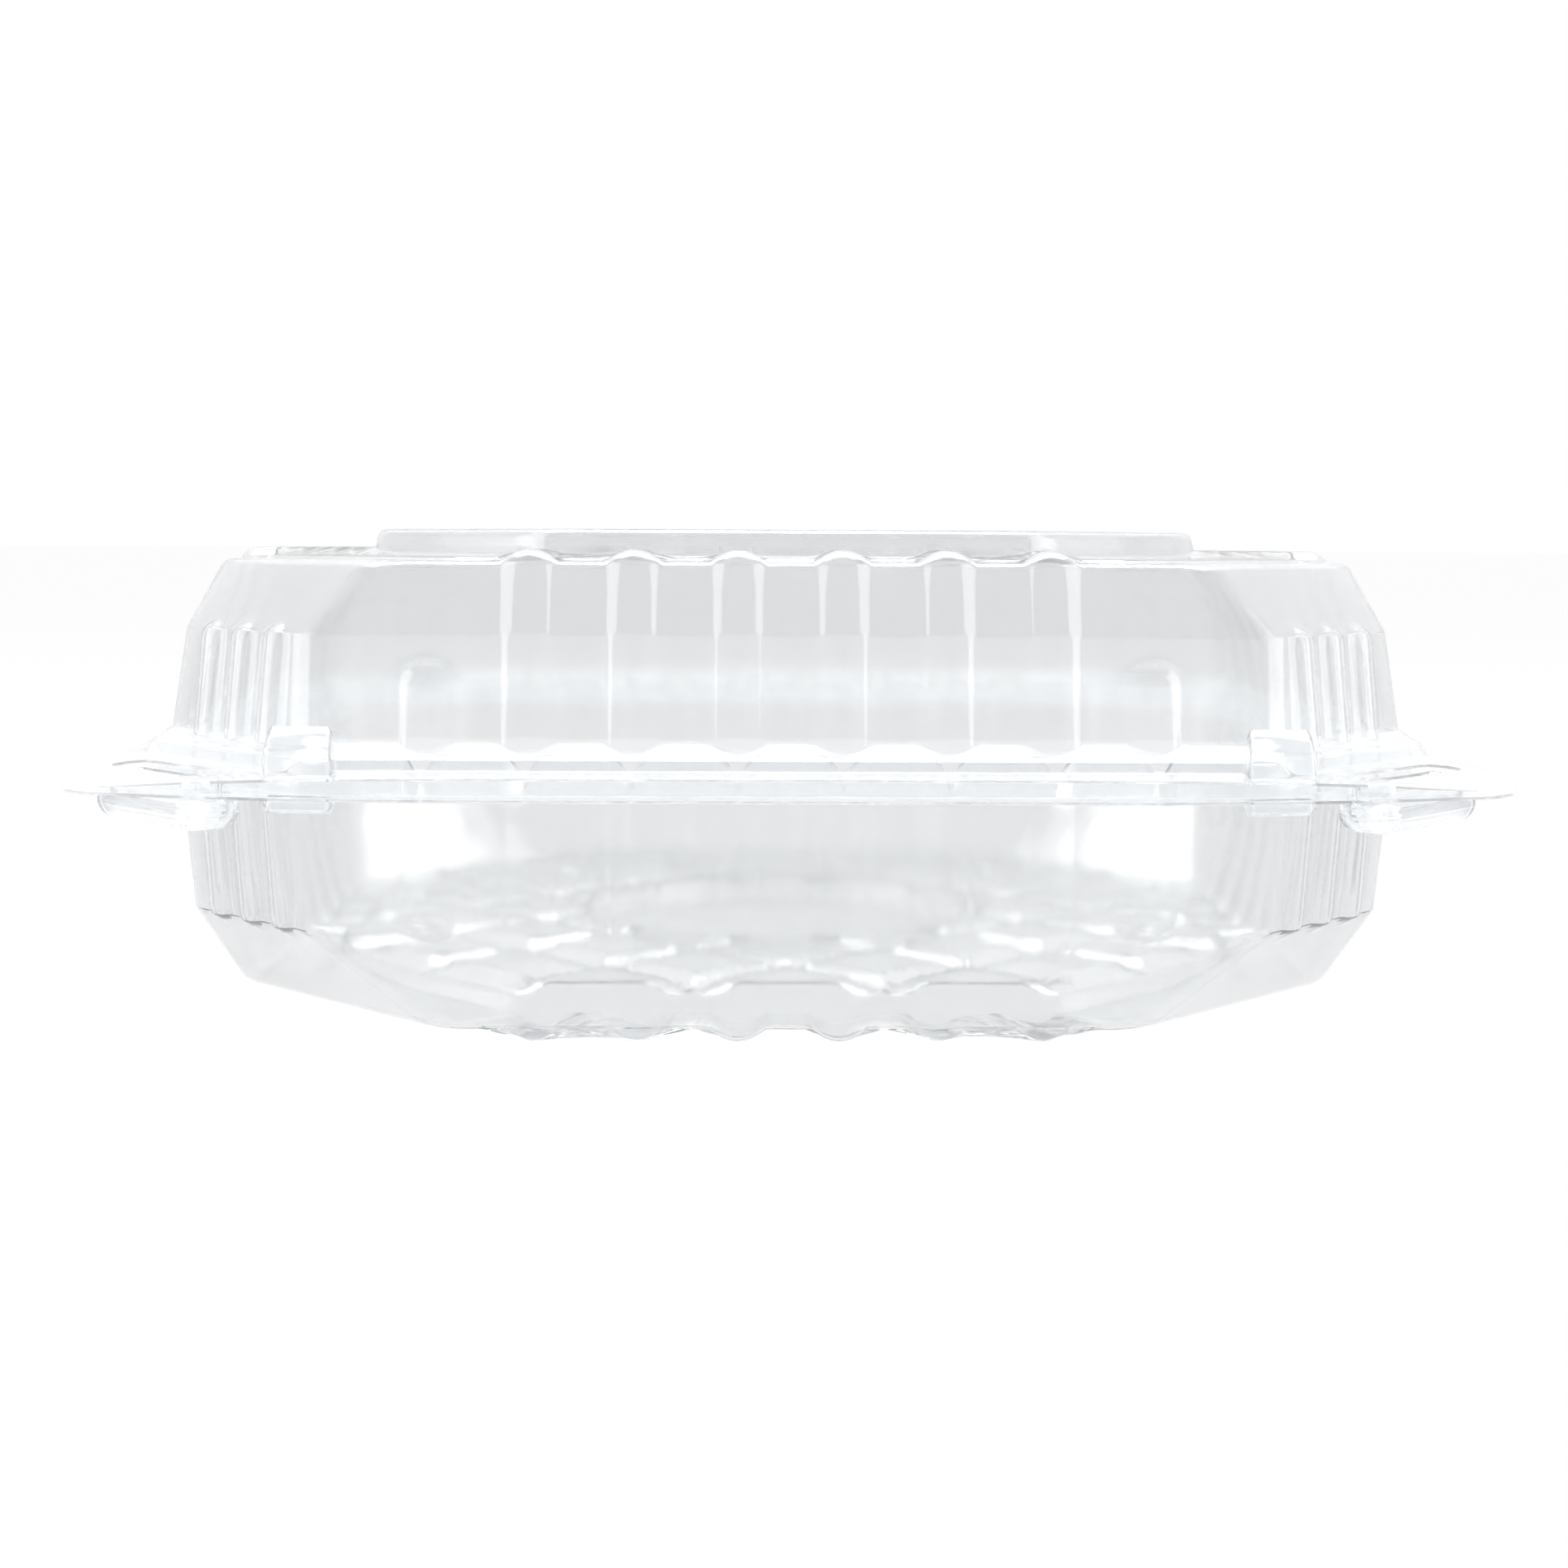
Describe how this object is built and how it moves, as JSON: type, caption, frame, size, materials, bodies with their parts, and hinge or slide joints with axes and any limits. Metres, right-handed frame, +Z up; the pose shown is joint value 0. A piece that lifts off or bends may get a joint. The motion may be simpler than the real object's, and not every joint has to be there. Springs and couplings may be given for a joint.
{
  "type": "hinged food box",
  "caption": "Clear hinged food box with ribbed walls, a raised grooved floor, a domed lid with a stacking platform, and snap locks in its front corners.",
  "frame": {"origin": "on the surface that the box stands on, under the middle of its rim", "axes": "+Z up, +X along the front edge to the right, -Y out of the front, with the hinge at +Y"},
  "size_m": [0.21, 0.21, 0.0762],
  "materials": {
    "clear_sheet": "clear glossy thermoformed plastic sheet"
  },
  "bodies": {
    "tray": {"tray": "clear_sheet", "tray_rim": "clear_sheet", "tray_snap_left": "clear_sheet", "tray_snap_right": "clear_sheet", "tray_lug_left": "clear_sheet", "tray_lug_right": "clear_sheet", "tray_hinge_leaf": "clear_sheet"},
    "lid": {"dome": "clear_sheet", "lid_rim": "clear_sheet", "lid_snap_left": "clear_sheet", "lid_snap_right": "clear_sheet", "lid_lug_left": "clear_sheet", "lid_lug_right": "clear_sheet", "lid_hinge_leaf": "clear_sheet"}
  },
  "joints": [
    {"name": "lid_hinge", "type": "hinge", "parent": "tray", "child": "lid", "pos_m": [0, 0.1052, 0.03955], "axis": [-1, 0, 0], "range_deg": [0, 180]}
  ]
}
